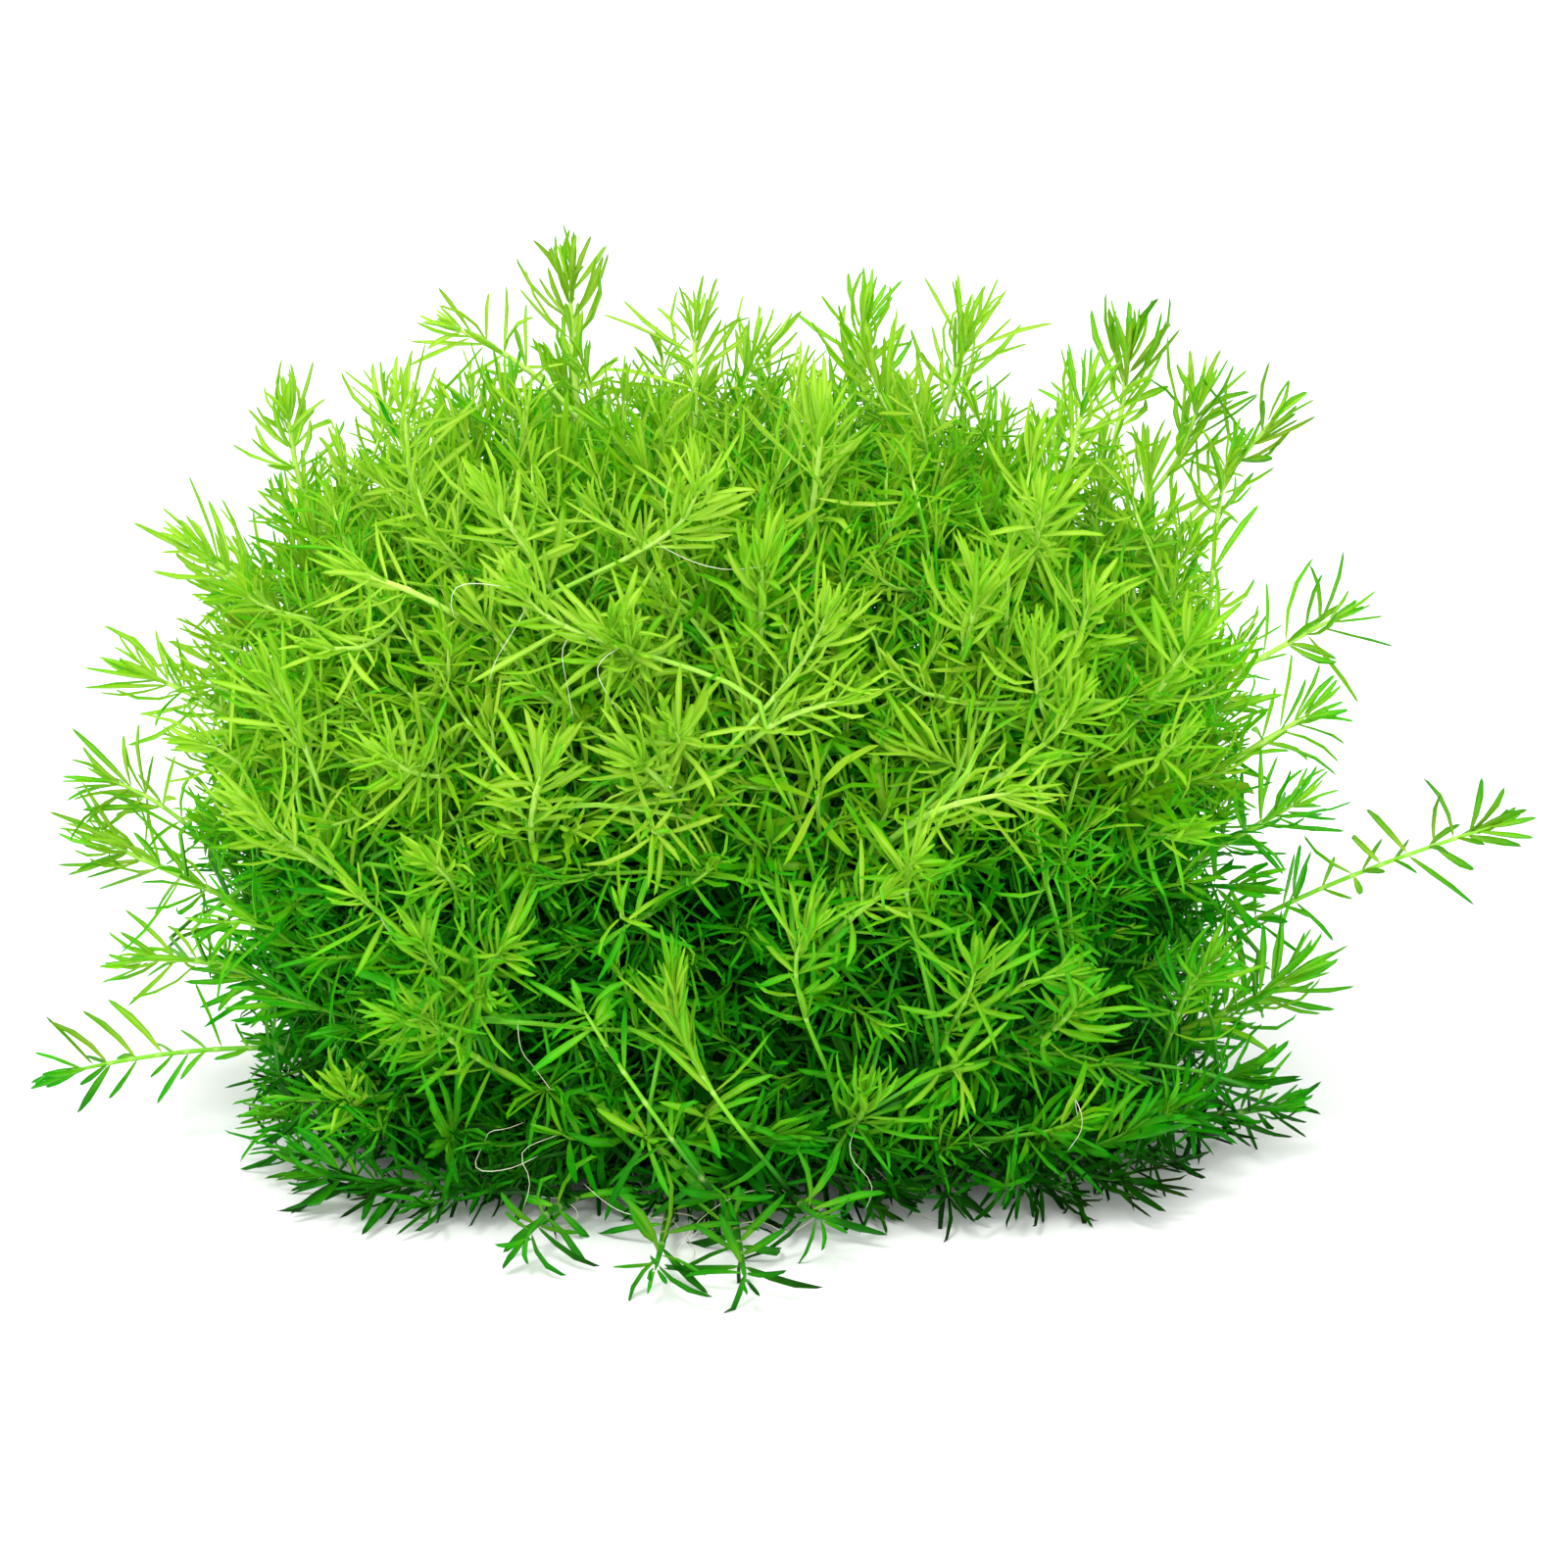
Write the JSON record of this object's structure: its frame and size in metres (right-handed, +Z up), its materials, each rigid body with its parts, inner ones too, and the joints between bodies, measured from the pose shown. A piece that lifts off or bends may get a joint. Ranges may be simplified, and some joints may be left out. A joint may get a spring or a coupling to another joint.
{
  "type": "dwarf rotala clump",
  "caption": "Dense rounded clump of thin leafy water plant stems, cut off flat at the foot, with low creeping sprigs in front and a long runner at each side.",
  "frame": {"origin": "middle of the clump's outline, on the surface that it stands on", "axes": "+Z up along the stems, +X to the right along the clump's width and its two runners, -Y towards the side with the creeping sprigs"},
  "size_m": [0.2479, 0.168, 0.1408],
  "materials": {
    "sunlit_growth": "Living leaf, yellow-green with a soft waxy shine; stands in for plant tissue.",
    "middle_growth": "Living leaf, fresh green with a soft waxy shine; stands in for plant tissue.",
    "shaded_growth": "Living leaf, deep green with a soft waxy shine; stands in for plant tissue."
  },
  "bodies": {
    "root": {"back_shoot_1": "shaded_growth", "back_shoot_2": "shaded_growth", "back_shoot_3": "shaded_growth", "back_shoot_4": "shaded_growth", "back_shoot_5": "middle_growth", "back_shoot_6": "middle_growth", "back_shoot_7": "middle_growth", "back_shoot_8": "sunlit_growth", "back_shoot_9": "sunlit_growth", "front_shoot_1": "middle_growth", "front_shoot_10": "shaded_growth", "front_shoot_11": "shaded_growth", "front_shoot_2": "sunlit_growth", "front_shoot_3": "middle_growth", "front_shoot_4": "sunlit_growth", "front_shoot_5": "sunlit_growth", "front_shoot_6": "sunlit_growth", "front_shoot_7": "middle_growth", "front_shoot_8": "middle_growth", "front_shoot_9": "shaded_growth", "front_sprig_1": "shaded_growth", "front_sprig_2": "shaded_growth", "front_sprig_3": "shaded_growth", "front_sprig_4": "shaded_growth", "left_runner": "shaded_growth", "left_shoot_1": "sunlit_growth", "left_shoot_2": "middle_growth", "left_shoot_3": "middle_growth", "left_shoot_4": "shaded_growth", "left_shoot_5": "middle_growth", "left_shoot_6": "shaded_growth", "left_shoot_7": "shaded_growth", "right_runner": "middle_growth", "right_shoot_1": "middle_growth", "right_shoot_2": "middle_growth", "right_shoot_3": "middle_growth", "right_shoot_4": "shaded_growth", "right_shoot_5": "shaded_growth", "right_shoot_6": "sunlit_growth", "right_shoot_7": "middle_growth", "top_shoot_1": "sunlit_growth", "top_shoot_10": "sunlit_growth", "top_shoot_11": "sunlit_growth", "top_shoot_12": "sunlit_growth", "top_shoot_2": "sunlit_growth", "top_shoot_3": "sunlit_growth", "top_shoot_4": "sunlit_growth", "top_shoot_5": "sunlit_growth", "top_shoot_6": "sunlit_growth", "top_shoot_7": "sunlit_growth", "top_shoot_8": "sunlit_growth", "top_shoot_9": "sunlit_growth"}
  },
  "joints": []
}
